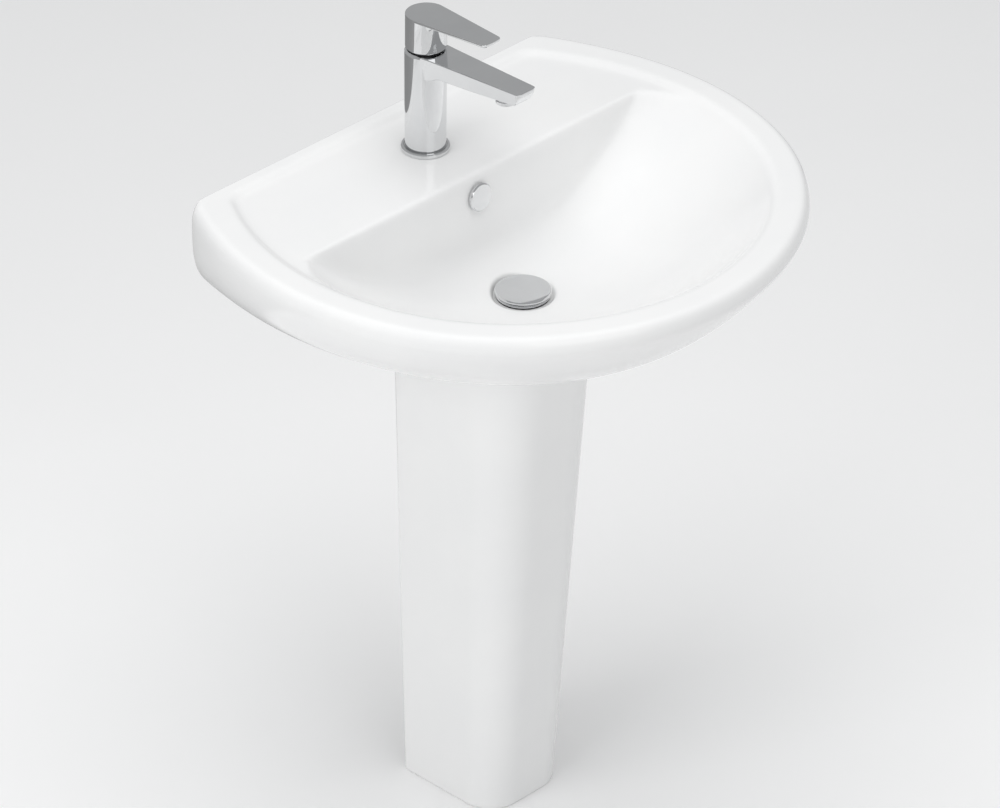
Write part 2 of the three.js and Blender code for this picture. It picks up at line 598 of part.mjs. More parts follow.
// flange and threaded tube in one piece, with overflow slots
let tube = turn(
  [[18.6, SEAT - 62], [21.6, SEAT - 62], [21.6, SEAT + 1.6], [30.6, SEAT + 1.6], [31, SEAT + 2.6], [28.6, SEAT + 3.9], [22, SEAT + 3.4], [18.6, SEAT + 1], [18.6, SEAT - 62]],
  ...D, 0, 30,
);
[0, 90, 180, 270].forEach((a) => {
  tube = tube.subtract(box(-4, 4, 15, 25, SEAT - 13, SEAT - 3).rotate([0, 0, a]).translate([D[0], D[1], 0]));
});
add("waste_tube", tube, CHROME);
// fixed spider that guides the stem, and its spring
{
  let sp = ring(5.6, 8.6, SEAT - 44, SEAT - 26, ...D, 20).add(ring(16.4, 18.3, SEAT - 40, SEAT - 34, ...D, 28));
  [0, 120, 240].forEach((a) => {
    sp = sp.add(box(-1.6, 1.6, 7.4, 17.4, SEAT - 40, SEAT - 34).rotate([0, 0, a]).translate([D[0], D[1], 0]));
  });
  sp = sp.add(rod(8.6, SEAT - 46, SEAT - 43, ...D, 20)).subtract(rod(1.6, SEAT - 50, SEAT - 40, ...D, 10));
  add("click_spider", sp, BRASS);
}
add("click_stem", rod(5.1, SEAT - 33, SEAT - 14, ...D, 16).add(rod(3.4, SEAT - 16, SEAT + 5.6, ...D, 16)), STEEL);
{
  // return spring, a wire helix between the spider floor and the stem
  const turns = 4,
    h0 = SEAT - 42.2,
    h1 = SEAT - 33.9,
    pts = [];
  for (let i = 0; i <= turns * 10; i++) {
    const t = (i / 10) * Math.PI * 2;
    pts.push(new THREE.Vector3(3.9 * Math.cos(t), D[1] + 3.9 * Math.sin(t), h0 + ((h1 - h0) * i) / (turns * 10)));
  }
  const sh = new THREE.Shape();
  for (let i = 0; i < 5; i++) {
    const t = (i / 5) * Math.PI * 2;
    i ? sh.lineTo(0.5 * Math.cos(t), 0.5 * Math.sin(t)) : sh.moveTo(0.5, 0);
  }
  const g = new THREE.ExtrudeGeometry(sh, { steps: turns * 10, extrudePath: new THREE.CatmullRomCurve3(pts), bevelEnabled: false });
  add("click_spring", toSolid(g), STEEL);
}
add("waste_cap_seal", ring(3.8, 26, SEAT + 4.3, SEAT + 5.6, ...D, 28), RUBBER);
add(
  "waste_cap",
  turn([[0, SEAT + 5.9], [31.4, SEAT + 5.9], [32.4, SEAT + 6.8], [32.4, SEAT + 8.4], [31.2, SEAT + 9.8], [0, SEAT + 10.2]], ...D, 0, 44),
  CHROME,
);
add("waste_lower_gasket", turn([[22, RIM - UNDER - 6.5], [29, RIM - UNDER - 6.5], [30, RIM - UNDER - GAP], [22, RIM - UNDER - GAP], [22, RIM - UNDER - 6.5]], ...D, 0, 28), RUBBER);
add("waste_locknut", hex(56, RIM - UNDER - 15, RIM - UNDER - 6.8, ...D, 8).subtract(rod(21.9, 0, RIM, ...D, 28)), BRASS);

// ---------------------------------------------------------------- tailpiece and bottle trap
const TUBE_END = SEAT - 62;
add("tailpiece", ring(14.2, 15.9, 520, TUBE_END - 6, ...D, 28).add(turn([[14.2, TUBE_END - 7], [20.9, TUBE_END - 7], [20.9, TUBE_END - GAP], [14.2, TUBE_END - GAP], [14.2, TUBE_END - 7]], ...D, 0, 28)), CHROME);
add("tailpiece_nut", hex(50, TUBE_END - 12, TUBE_END + 12, ...D, 8).subtract(rod(21.9, TUBE_END - 7.3, TUBE_END + 14, ...D, 28)).subtract(rod(16.2, TUBE_END - 20, TUBE_END + 2, ...D, 28)), CHROME);
const TRAP_TOP = 560,
  OUT_Z = 525;
let trap = turn([[26, 448], [30, 448], [30, TRAP_TOP - 8], [24, TRAP_TOP], [16.2, TRAP_TOP], [16.2, TRAP_TOP - 5], [20, TRAP_TOP - 8], [26, TRAP_TOP - 14], [26, 448]], ...D, 0, 32);
trap = trap.add(lay(ring(14.5, 17.5, 0, 24, 0, 0, 24), "y", [0, DRAIN_Y + 24, OUT_Z]).subtract(rod(27, 440, TRAP_TOP - 15, ...D, 32)));
trap = trap.subtract(lay(rod(14.6, 0, 30, 0, 0, 24), "y", [0, DRAIN_Y + 20, OUT_Z]));
add("trap_body", trap, CHROME);
add("trap_inlet_nut", turn([[16.3, TRAP_TOP + GAP], [22.5, TRAP_TOP + GAP], [22.5, TRAP_TOP + 10], [19, TRAP_TOP + 14], [16.3, TRAP_TOP + 14], [16.3, TRAP_TOP + GAP]], ...D, 0, 28), CHROME);
add("trap_cup", turn([[0, 430], [20, 430], [27, 433], [32.5, 440], [32.5, 462], [30.4, 462], [30.4, 447.5], [25, 447.5], [25, 441], [0, 437]], ...D, 0, 32), CHROME);
const PIPE_Y0 = DRAIN_Y + 50;
add("trap_outlet_nut", lay(turn([[16.6, 0], [23, 0], [23, 12], [20, 15], [16.6, 15], [16.6, 0]], 0, 0, 0, 28), "y", [0, DRAIN_Y + 48.4, OUT_Z]), CHROME);
add("outlet_pipe", lay(ring(14.4, 16, 0, WALL - 2 - PIPE_Y0, 0, 0, 28), "y", [0, PIPE_Y0, OUT_Z]), CHROME);
add("wall_flange", lay(turn([[16.5, 0], [22, 0], [34, 6.5], [35, 8], [16.5, 8], [16.5, 0]], 0, 0, 0, 24), "y", [0, WALL - 8.2, OUT_Z]), CHROME);

export default root;
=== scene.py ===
import json
import math

import bpy
import numpy as np
from mathutils import Matrix, Vector


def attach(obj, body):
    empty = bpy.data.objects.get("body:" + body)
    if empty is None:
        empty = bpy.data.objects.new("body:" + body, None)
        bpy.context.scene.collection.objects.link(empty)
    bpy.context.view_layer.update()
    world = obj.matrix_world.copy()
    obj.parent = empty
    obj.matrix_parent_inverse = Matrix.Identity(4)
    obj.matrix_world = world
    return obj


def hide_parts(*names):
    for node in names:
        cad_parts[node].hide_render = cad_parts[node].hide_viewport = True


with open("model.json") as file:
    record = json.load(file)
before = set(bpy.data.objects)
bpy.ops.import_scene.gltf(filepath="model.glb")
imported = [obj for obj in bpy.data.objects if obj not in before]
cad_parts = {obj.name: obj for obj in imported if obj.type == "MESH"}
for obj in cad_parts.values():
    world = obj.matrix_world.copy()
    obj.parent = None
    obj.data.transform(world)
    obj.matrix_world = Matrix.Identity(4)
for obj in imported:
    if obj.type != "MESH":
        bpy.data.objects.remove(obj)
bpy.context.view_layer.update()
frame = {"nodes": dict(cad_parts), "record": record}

# ------------------------------------------------------------------ dimensions, millimetres, same as the CAD frame
K = 0.98
WALL = 278.8
RIM = 807.0
OUTLINE_C = WALL - 180 * K
DECK = 5.0
RIDGE_Y = 106.9
LEAN = 5.0
TILT = math.tan(math.radians(LEAN))
TAP_Y = 187.3
DRAIN_Y = 33.3
OVER_Z = RIM - 34
BODY_TOP = RIM + 123
LEVER_TOP = RIM + 168.2
REACH = 156.4
HUB_R = 23.4
PED_TOP = RIM - 149 - 1.5
PED_REAR = 156.3
DECK_Z = RIM - DECK
SEAT = RIM - 134
INNER = [[0, 350.2], [25, 344.7], [50, 331.5], [75, 313.1], [95, 300], [110, 293.2], [125, 290.8], [180, 290]]
OUTER = [[0, 389], [25, 383.5], [50, 370.5], [75, 352], [95, 339.5], [110, 334.5], [126, 336], [180, 336]]


def radial(table, deg):
    d = abs(deg)
    i = 0
    while i < len(table) - 2 and d > table[i + 1][0]:
        i += 1
    P = lambda k: table[max(0, min(len(table) - 1, k))]
    (x0, y0), (x1, y1) = P(i), P(i + 1)
    h = x1 - x0
    t = (d - x0) / h

    def slope(k):
        if k <= 0:
            return 0.0
        a, b = P(k - 1), P(k + 1)
        return (b[1] - a[1]) / (b[0] - a[0])

    m0, m1 = slope(i) * h, slope(i + 1) * h
    t2, t3 = t * t, t * t * t
    return K * ((2 * t3 - 3 * t2 + 1) * y0 + (t3 - 2 * t2 + t) * m0 + (-2 * t3 + 3 * t2) * y1 + (t3 - t2) * m1)


# ------------------------------------------------------------------ mesh tools
def arc_len(p):
    return np.concatenate([[0], np.cumsum(np.linalg.norm(np.diff(p, axis=0), axis=1))])


def resample(p, s):
    a = arc_len(p)
    return np.stack([np.interp(s, a, p[:, k]) for k in range(p.shape[1])], 1)


def rounded(pts, radii, closed=False, n=6, support=0.0):
    """Polyline with its corners turned into arcs of about these radii, n steps each."""
    pts = [np.array(p, float) for p in pts]
    m = len(pts)
    out = []
    for i, p in enumerate(pts):
        r = radii[i] if hasattr(radii, "__len__") else radii
        if (not closed and i in (0, m - 1)) or r <= 0:
            out.append(p)
            continue
        a, b = pts[i - 1], pts[(i + 1) % m]
        u, v = a - p, b - p
        lu, lv = np.linalg.norm(u), np.linalg.norm(v)
        if lu < 1e-9 or lv < 1e-9:
            out.append(p)
            continue
        u, v = u / lu, v / lv
        ang = math.acos(max(-1, min(1, float(u @ v))))
        if ang > math.pi - 0.03:
            out.append(p)
            continue
        cut = min(r / math.tan(ang / 2), 0.46 * lu, 0.46 * lv)
        rr = cut * math.tan(ang / 2)
        bis = u + v
        bis = bis / np.linalg.norm(bis)
        c = p + bis * (rr / math.sin(ang / 2))
        s, e = p + u * cut, p + v * cut
        if support:
            out.append(p + u * min(cut + support, 0.49 * lu))
        a0, a1 = s - c, e - c
        om = math.acos(max(-1, min(1, float(a0 @ a1) / (np.linalg.norm(a0) * np.linalg.norm(a1)))))
        for k in range(n + 1):
            t = k / n
            out.append(c + (math.sin((1 - t) * om) * a0 + math.sin(t * om) * a1) / math.sin(om))
        if support:
            out.append(p + v * min(cut + support, 0.49 * lv))
    return np.array(out)


def mesh_object(name, verts_mm, faces, angle=32):
    me = bpy.data.meshes.new(name)
    me.from_pydata([tuple(v) for v in (np.asarray(verts_mm, float) / 1000.0)], [], faces)
    me.validate()
    me.update()
    o = bpy.data.objects.new(name, me)
    bpy.context.scene.collection.objects.link(o)
    fix_normals(o)
    shade(o, angle)
    return o


def signed_volume(me):
    me.calc_loop_triangles()
    co = np.zeros(len(me.vertices) * 3)
    me.vertices.foreach_get("co", co)
    co = co.reshape(-1, 3)
    tri = np.zeros(len(me.loop_triangles) * 3, np.int32)
    me.loop_triangles.foreach_get("vertices", tri)
    t = co[tri.reshape(-1, 3)]
    return float(np.einsum("ij,ij->i", t[:, 0], np.cross(t[:, 1], t[:, 2])).sum())


def fix_normals(o):
    if signed_volume(o.data) < 0:
        o.data.flip_normals()


def shade(o, angle=32):
    o.data.shade_smooth()
    o.data.set_sharp_from_angle(angle=math.radians(angle))


def grid(rings, close_first=None, close_last=None, closed_u=True):
    """Faces joining rings of equal point count; each end may be closed on a centre point."""
    rings = [np.asarray(r, float) for r in rings]
    n = len(rings[0])
    verts = np.concatenate(rings)
    idx = np.arange(len(verts)).reshape(len(rings), n)
    faces = []
    cols = range(n) if closed_u else range(n - 1)
    for j in range(len(rings) - 1):
        a, b = idx[j], idx[j + 1]
        faces += [(int(a[i]), int(a[(i + 1) % n]), int(b[(i + 1) % n]), int(b[i])) for i in cols]
    verts = list(verts)
    for end, ring in ((close_first, idx[0]), (close_last, idx[-1])):
        if end is None:
            continue
        k = len(verts)
        verts.append(np.array(end, float))
        for i in cols:
            f = (int(ring[i]), int(ring[(i + 1) % n]), k)
            faces.append(f[::-1] if end is close_first else f)
    return np.array(verts), faces


def lathe(profile, seg=128, axis_open=False):
    """Solid of revolution about +Z; profile [radius, z] is a closed loop, or runs from axis to axis."""
    profile = np.asarray(profile, float)
    on_axis = profile[0][0] < 1e-6 and profile[-1][0] < 1e-6
    ang = np.arange(seg) * 2 * math.pi / seg
    ring = lambda p: np.stack([p[0] * np.cos(ang), p[0] * np.sin(ang), np.full(seg, p[1])], 1)
    if on_axis:
        return grid([ring(p) for p in profile[1:-1]], close_first=(0, 0, profile[0][1]), close_last=(0, 0, profile[-1][1]))
    if np.linalg.norm(profile[0] - profile[-1]) < 1e-6:
        profile = profile[:-1]
    v, f = grid([ring(p) for p in profile])
    m = len(profile)
    for i in range(seg):
        j = (i + 1) % seg
        f.append(((m - 1) * seg + i, (m - 1) * seg + j, j, i))
    return v, f


def place(v, rot=None, at=(0, 0, 0)):
    v = np.asarray(v, float)
    if rot is not None:
        v = v @ np.array(rot, float).T
    return v + np.array(at, float)


ALONG_Y = [[1, 0, 0], [0, 0, 1], [0, -1, 0]]  # turns +Z into +Y


def turned(name, profile, at=(0, 0, 0), rot=None, seg=128, r=0.5, n=4, angle=32):
    prof = np.asarray(profile, float)
    closed = prof[0][0] > 1e-6
    if closed:
        if np.linalg.norm(prof[0] - prof[-1]) < 1e-6:
            prof = prof[:-1]
        prof = rounded(prof, r, closed=True, n=n)
        prof = np.vstack([prof, prof[:1]])
    else:
        prof = rounded(prof, r, n=n)
    v, f = lathe(prof, seg)
    return mesh_object(name, place(v, rot, at), f, angle)


def boolean(o, cutters, op="DIFFERENCE"):
    for c in cutters:
        m = o.modifiers.new("cut", "BOOLEAN")
        m.object = c
        m.operation = op
        m.solver = "MANIFOLD"
        bpy.context.view_layer.update()
        dg = bpy.context.evaluated_depsgraph_get()
        before = len(o.data.vertices)
        me = bpy.data.meshes.new_from_object(o.evaluated_get(dg))
        o.modifiers.clear()
        if len(me.vertices) < 8:
            raise RuntimeError(f"boolean on {o.name} with {c.name} left {len(me.vertices)} of {before} vertices")
        old = o.data
        o.data = me
        bpy.data.meshes.remove(old)
    for c in cutters:
        me = c.data
        bpy.data.objects.remove(c)
        bpy.data.meshes.remove(me)
    return o


def rod_cut(r, z0, z1, x=0, y=0, seg=72):
    v, f = lathe([[0, z0], [r, z0], [r, z1], [0, z1]], seg)
    return mesh_object("cut", place(v, None, (x, y, 0)), f)


def rod_cut_y(r, length, at, seg=48, rot=ALONG_Y):
    v, f = lathe([[0, 0], [r, 0], [r, length], [0, length]], seg)
    return mesh_object("cut", place(v, rot, at), f)


# ------------------------------------------------------------------ materials
def principled(name, **sockets):
    m = bpy.data.materials.new(name)
    m.use_nodes = True
    b = m.node_tree.nodes["Principled BSDF"]
    for k, v in sockets.items():
        b.inputs[k.replace("_", " ")].default_value = v
    return m, m.node_tree, b


def tex_coord(nt):
    return nt.nodes.new("ShaderNodeTexCoord").outputs["Object"]


def noise(nt, co, scale, detail=4.0, rough=0.5):
    n = nt.nodes.new("ShaderNodeTexNoise")
    n.inputs["Scale"].default_value = scale
    n.inputs["Detail"].default_value = detail
    n.inputs["Roughness"].default_value = rough
    nt.links.new(co, n.inputs["Vector"])
    return n.outputs["Fac"]


def ramp(nt, fac, stops):
    r = nt.nodes.new("ShaderNodeValToRGB")
    e = r.color_ramp.elements
    while len(e) < len(stops):
        e.new(0.5)
    for el, (p, c) in zip(e, stops):
        el.position = p
        el.color = (*c, 1) if len(c) == 3 else c
    nt.links.new(fac, r.inputs["Fac"])
    return r.outputs["Color"]


def span(nt, fac, lo, hi, a=0.3, b=0.7):
    r = nt.nodes.new("ShaderNodeMapRange")
    r.inputs["From Min"].default_value = a
    r.inputs["From Max"].default_value = b
    r.inputs["To Min"].default_value = lo
    r.inputs["To Max"].default_value = hi
    nt.links.new(fac, r.inputs["Value"])
    return r.outputs["Result"]


def bump(nt, bsdf, height, strength, distance, below=None):
    b = nt.nodes.new("ShaderNodeBump")
    b.inputs["Strength"].default_value = strength
    b.inputs["Distance"].default_value = distance
    nt.links.new(height, b.inputs["Height"])
    if below is not None:
        nt.links.new(below, b.inputs["Normal"])
    nt.links.new(b.outputs["Normal"], bsdf.inputs["Normal"])
    return b.outputs["Normal"]


def china():
    # white glaze: barely clouded colour, slow waviness and a very fine orange peel under a hard gloss
    m, nt, b = principled("glazed_china", IOR=1.52, Specular_IOR_Level=0.38)
    co = tex_coord(nt)
    cloud = noise(nt, co, 9.0, 5.0, 0.55)
    nt.links.new(ramp(nt, cloud, [(0.30, (0.872, 0.874, 0.874)), (0.70, (0.896, 0.896, 0.892))]), b.inputs["Base Color"])
    nt.links.new(span(nt, noise(nt, co, 38.0, 6.0, 0.6), 0.13, 0.19), b.inputs["Roughness"])
    wave = noise(nt, co, 14.0, 1.5, 0.4)
    peel = noise(nt, co, 420.0, 2.0, 0.5)
    low = bump(nt, b, wave, 0.07, 0.0010)
    bump(nt, b, peel, 0.03, 0.0001, low)
    return m


def chrome():
    m, nt, b = principled("polished_chrome", Metallic=1.0)
    co = tex_coord(nt)
    nt.links.new(ramp(nt, noise(nt, co, 24.0, 5.0, 0.6), [(0.30, (0.735, 0.741, 0.749)), (0.70, (0.776, 0.781, 0.787))]), b.inputs["Base Color"])
    nt.links.new(span(nt, noise(nt, co, 160.0, 5.0, 0.65), 0.035, 0.075), b.inputs["Roughness"])
    bump(nt, b, noise(nt, co, 30.0, 1.0, 0.4), 0.04, 0.0003)
    return m


def steel():
    m, nt, b = principled("zinc_steel", Metallic=1.0)
    co = tex_coord(nt)
    nt.links.new(ramp(nt, noise(nt, co, 90.0, 6.0, 0.6), [(0.30, (0.50, 0.51, 0.53)), (0.70, (0.66, 0.67, 0.68))]), b.inputs["Base Color"])
    nt.links.new(span(nt, noise(nt, co, 300.0, 5.0, 0.6), 0.24, 0.42), b.inputs["Roughness"])
    bump(nt, b, noise(nt, co, 900.0, 3.0, 0.5), 0.15, 0.0001)
    return m


def brass():
    m, nt, b = principled("machined_brass", Metallic=1.0)
    co = tex_coord(nt)
    nt.links.new(ramp(nt, noise(nt, co, 60.0, 6.0, 0.6), [(0.28, (0.56, 0.41, 0.20)), (0.72, (0.74, 0.58, 0.31))]), b.inputs["Base Color"])
    nt.links.new(span(nt, noise(nt, co, 240.0, 5.0, 0.6), 0.20, 0.36), b.inputs["Roughness"])
    w = nt.nodes.new("ShaderNodeTexWave")
    w.bands_direction = "Z"
    w.inputs["Scale"].default_value = 620.0
    w.inputs["Distortion"].default_value = 0.4
    nt.links.new(co, w.inputs["Vector"])
    bump(nt, b, w.outputs["Fac"], 0.12, 0.0001)
    return m


def rubber():
    m, nt, b = principled("black_rubber", Specular_IOR_Level=0.35)
    co = tex_coord(nt)
    nt.links.new(ramp(nt, noise(nt, co, 70.0, 6.0, 0.6), [(0.3, (0.022, 0.022, 0.024)), (0.7, (0.040, 0.040, 0.043))]), b.inputs["Base Color"])
    nt.links.new(span(nt, noise(nt, co, 200.0, 5.0, 0.6), 0.62, 0.84), b.inputs["Roughness"])
    bump(nt, b, noise(nt, co, 1200.0, 3.0, 0.5), 0.3, 0.0001)
    return m


def plastic(name, a, c, r0, r1):
    m, nt, b = principled(name, Specular_IOR_Level=0.45)
    co = tex_coord(nt)
    nt.links.new(ramp(nt, noise(nt, co, 50.0, 5.0, 0.6), [(0.3, a), (0.7, c)]), b.inputs["Base Color"])
    nt.links.new(span(nt, noise(nt, co, 260.0, 4.0, 0.6), r0, r1), b.inputs["Roughness"])
    bump(nt, b, noise(nt, co, 1500.0, 2.0, 0.5), 0.18, 0.0001)
    return m


MATS = {
    "china": china(),
    "chrome_plate": chrome(),
    "steel": steel(),
    "brass": brass(),
    "rubber": rubber(),
    "white_plastic": plastic("white_plastic", (0.74, 0.74, 0.72), (0.80, 0.80, 0.785), 0.38, 0.52),
    "grey_plastic": plastic("grey_plastic", (0.028, 0.029, 0.031), (0.05, 0.052, 0.055), 0.40, 0.55),
}
SLOT = {s["node"]: s["material_slot"] for s in frame["record"]["subparts"]}
BODY = {n: b for b, ns in frame["record"]["behaviour"]["bodies"].items() for n in ns}


def finish_piece(o, node):
    """The piece stands for this CAD node: same body, same finish."""
    o.data.materials.clear()
    o.data.materials.append(MATS[SLOT[node]])
    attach(o, BODY[node])
    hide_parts(node)
    return o


# ------------------------------------------------------------------ basin
def side_curve(table, d, y_back, cut):
    """Half outline (x >= 0) from the middle of the straight back edge, round the corner, to the front."""
    side = []
    for a in np.arange(150, -0.01, -0.25):
        r = radial(table, a) - d
        t = math.radians(a)
        side.append((r * math.sin(t), OUTLINE_C - r * math.cos(t)))
    side = np.array(side)
    keep = side[side[:, 1] < y_back]
    i = len(side) - len(keep)
    p, q = side[i - 1], side[i]
    t = (y_back - q[1]) / (p[1] - q[1])
    corner = q + (p - q) * t
    poly = np.vstack([[corner], keep])
    a = arc_len(poly)
    start = resample(poly, np.array([cut]))[0]
    tail = poly[a > cut + 1e-6]
    back_end = corner - np.array([cut, 0])
    k = np.linspace(0, 1, 24)[:, None]
    bez = (1 - k) ** 2 * back_end + 2 * k * (1 - k) * corner + k**2 * start
    line = np.stack([np.linspace(0, back_end[0], 80)[:-1], np.full(79, y_back)], 1)
    return np.vstack([line, bez, tail])


def polar(curve):
    """Bearing and radius of a half outline about the waste, for interpolation."""
    x, y = curve[:, 0], curve[:, 1] - DRAIN_Y
    th = np.arctan2(x, -y)
    o = np.argsort(th)
    return th[o], np.hypot(x, y)[o]


def basin_mesh():
    outer = side_curve(OUTER, 0, WALL, 10)
    flat = side_curve(OUTER, 10, WALL - 1.2, 9)
    inner = side_curve(INNER, 0, WALL - 17, 16)
    step = side_curve(INNER, 7.4, WALL - 17 - 7.4, 14)
    # half outline points, closer together round the corner
    a = arc_len(outer)
    xc = outer[:, 0]
    near = np.exp(-(((outer[:, 0] - outer[:, 0].max()) / 60.0) ** 2) - ((outer[:, 1] - WALL) / 26.0) ** 2)
    corner_i = np.argmin(np.hypot(outer[:, 0] - 286, outer[:, 1] - WALL))
    dist = np.abs(a - a[corner_i])
    dens = 1 + 3.2 * np.exp(-((dist / 22.0) ** 2))
    cum = np.concatenate([[0], np.cumsum(0.5 * (dens[1:] + dens[:-1]) * np.diff(a))])
    NH = 380
    s = np.interp(np.linspace(0, cum[-1], NH), cum, a)
    half = resample(outer, s)
    half[0, 0] = half[-1, 0] = 0.0
    fa = arc_len(flat)
    flat_half = None
    thi, ri = polar(inner)
    ths, rs = polar(step)
    thf, rf = polar(flat)
    dish = np.array([((radial(INNER, d) - 8.5) * math.sin(math.radians(d)), OUTLINE_C - (radial(INNER, d) - 8.5) * math.cos(math.radians(d))) for d in np.arange(0, 180.01, 0.5)])
    # behind the waste the dish closes on a rounder curve than the rim does
    dx, dy = dish[:, 0], np.maximum(dish[:, 1] - DRAIN_Y, 0.0)
    lim = (np.maximum((np.abs(dx) / 289.1) ** 2.7 + (dy / 123.5) ** 2.7, 1e-9)) ** (-1 / 2.7)
    k = np.where(dish[:, 1] > DRAIN_Y, np.minimum(1.0, lim), 1.0)
    dish = np.stack([dx * k, DRAIN_Y + (dish[:, 1] - DRAIN_Y) * k], 1)
    thd, rd = polar(dish)
    rows = []
    zd = lambda rho: -DECK - 2 - (130 - DECK) * (1 - rho**2.2)
    for k in range(NH):
        px, py = half[k]
        th = math.atan2(px, -(py - DRAIN_Y))
        sn, cs = math.sin(th), -math.cos(th)  # x and y direction of the ray
        Rd = np.interp(th, thd, rd)
        Ri = np.interp(th, thi, ri)
        Rs = np.interp(th, ths, rs)
        Rf = min(np.interp(th, thf, rf), math.hypot(px, py - DRAIN_Y) - 0.3)
        rho_end = (1 + 2 / (130 - DECK)) ** (1 / 2.2)
        F = lambda rho: DRAIN_Y + rho * Rd * cs - (RIDGE_Y - TILT * (-DECK - zd(rho)))
        hit = None
        if cs > 0 and F(min(rho_end, Rs / Rd)) > 0:
            lo, hi = 0.02, rho_end
            for _ in range(40):
                mid = 0.5 * (lo + hi)
                if F(mid) > 0:
                    hi = mid
                else:
                    lo = mid
            hit = lo
        r_seat = 37.0
        rho1 = hit if hit is not None else min(rho_end, Rs / Rd)
        rr, zz, key = [0.0, 33.6], [-134.0, -134.0], [0.0]
        rho = np.linspace(r_seat / Rd, rho1, 160)
        rr += list(rho * Rd)
        zz += list(zd(rho))
        i_seat, i_hit = 2, 1 + 160
        if hit is not None:
            zr = np.linspace(zd(rho1), -DECK, 80)[1:]
            rw = (RIDGE_Y - TILT * (-DECK - zr) - DRAIN_Y) / cs
            rr += list(rw)
            zz += list(zr)
            i_ridge = len(rr) - 1
            r_top = min(rw[-1], Rs - 0.5)
            dk = np.linspace(r_top, Rs, 60)[1:]
            rr += list(dk)
            zz += [-DECK] * 59
        else:
            i_ridge = len(rr) - 1
            zz[-1] = -DECK
            rr += [Rs]
            zz += [-DECK]
        i_v2 = len(rr) - 1
        rr += [Ri]
        zz += [0.0]
        i_v3 = len(rr) - 1
        rr += list(np.linspace(Ri, Rf, 12)[1:])
        zz += [0.0] * 11
        i_flat = len(rr) - 1
        P = np.stack([np.array(rr) * sn, DRAIN_Y + np.array(rr) * cs, np.array(zz)], 1)
        # rolled outer edge
        t = np.linspace(0, math.pi / 2, 24)[1:]
        f0 = P[-1].copy()
        roll = np.stack([f0[0] + (px - f0[0]) * np.sin(t), f0[1] + (py - f0[1]) * np.sin(t), -20 * (1 - np.cos(t))], 1)
        # underside
        u = min(1.0, (abs(math.degrees(math.atan2(px, -(py - OUTLINE_C)))) / 126) ** 2)
        PP, QQ = 0.753 + 0.209 * u, 2.0 - 1.58 * u
        t = (np.linspace(0, 1, 120)[1:] ** 1.6) * math.pi / 2
        c = np.maximum(np.cos(t), 0) ** PP
        sx, sy = 0.31 + 0.69 * c, 0.57 + 0.43 * c
        und = np.stack([px * sx, WALL - (WALL - py) * sy, -20 - 129 * np.sin(t) ** QQ], 1)
        cb = np.array([0.0, 150.0, -149.0])
        e = und[-1]
        bot = e + (cb - e) * np.linspace(0, 1, 30)[1:, None]
        i_roll = i_flat + len(roll)
        i_und = i_roll + len(und)
        P = np.vstack([P, roll, und, bot])
        s_raw = arc_len(P)
        # rounding of each edge: (index, spread)
        slant = min(1 / max(cs, 0.08), 3.2) if cs > 0 else 1.0
        back = abs(py - WALL) < 0.5
        keys = [(i_seat, 1.2), (i_hit, 8.5 * min(slant, 2.2) if hit is not None else 4.0), (i_ridge, 4.2 * min(slant, 2.0) if hit is not None else 4.2),
                (i_v2, 3.4), (i_v3, 3.2), (i_flat, 1.6 if back else 3.0), (i_roll, 2.2 if back else 5.0), (i_und, 2.6 if back else 5.0), (len(P) - 1, 4.0)]
        ks = np.array([s_raw[i] for i, _ in keys])
        kv = np.array([v for _, v in keys])
        sig = np.interp(s_raw, np.concatenate([[0], ks]), np.concatenate([[1.2], kv]))
        tt = np.concatenate([[0], np.cumsum(np.diff(s_raw) * 2 / (sig[1:] + sig[:-1]))])
        dt = 0.16
        nt_ = int(tt[-1] / dt) + 2
        tu = np.linspace(0, tt[-1], nt_)
        h = tu[1] - tu[0]
        Q = np.stack([np.interp(tu, tt, P[:, j]) for j in range(3)], 1)
        w = int(3.6 / h)
        ker = np.exp(-0.5 * (np.arange(-w, w + 1) * h) ** 2)
        ker /= ker.sum()
        Q2 = np.vstack([2 * Q[0] - Q[w:0:-1], Q, 2 * Q[-1] - Q[-2:-w - 2:-1]])
        S = np.stack([np.convolve(Q2[:, j], ker, "valid") for j in range(3)], 1)
        # stations, the same number for every ray
        s_v2, s_v3 = s_raw[i_v2], s_raw[i_v3]
        s_r = min(s_raw[i_ridge], s_v2 - 14)
        s_h = min(s_raw[i_hit], s_r - 34)
        cosw = lambda n: 0.5 - 0.5 * np.cos(np.linspace(0, math.pi, n + 1))
        mix = lambda n: 0.5 * cosw(n) + 0.5 * np.linspace(0, 1, n + 1)
        seg = [(0, s_raw[i_seat] * 0.82, 3, np.linspace(0, 1, 4)), (s_raw[i_seat] * 0.82, s_raw[i_seat] * 1.12, 8, np.linspace(0, 1, 9)),
               (s_raw[i_seat] * 1.12, s_h, 44, mix(44)), (s_h, s_r, 44, mix(44)), (s_r, s_v2, 36, mix(36)), (s_v2, s_v3, 8, np.linspace(0, 1, 9)),
               (s_v3, s_raw[i_flat], 12, mix(12)), (s_raw[i_flat], s_raw[i_roll], 14, np.linspace(0, 1, 15)),
               (s_raw[i_roll], s_raw[i_und], 44, np.linspace(0, 1, 45)), (s_raw[i_und], s_raw[-1], 10, np.linspace(0, 1, 11) ** 1.4)]
        st = [0.0]
        for a0, a1, n, g in seg:
            st += list(a0 + (a1 - a0) * g[1:])
        tq = np.interp(np.array(st), s_raw, tt)
        rows.append(np.stack([np.interp(tq, tu, S[:, j]) for j in range(3)], 1))
    rows = np.array(rows)  # NH x M x 3
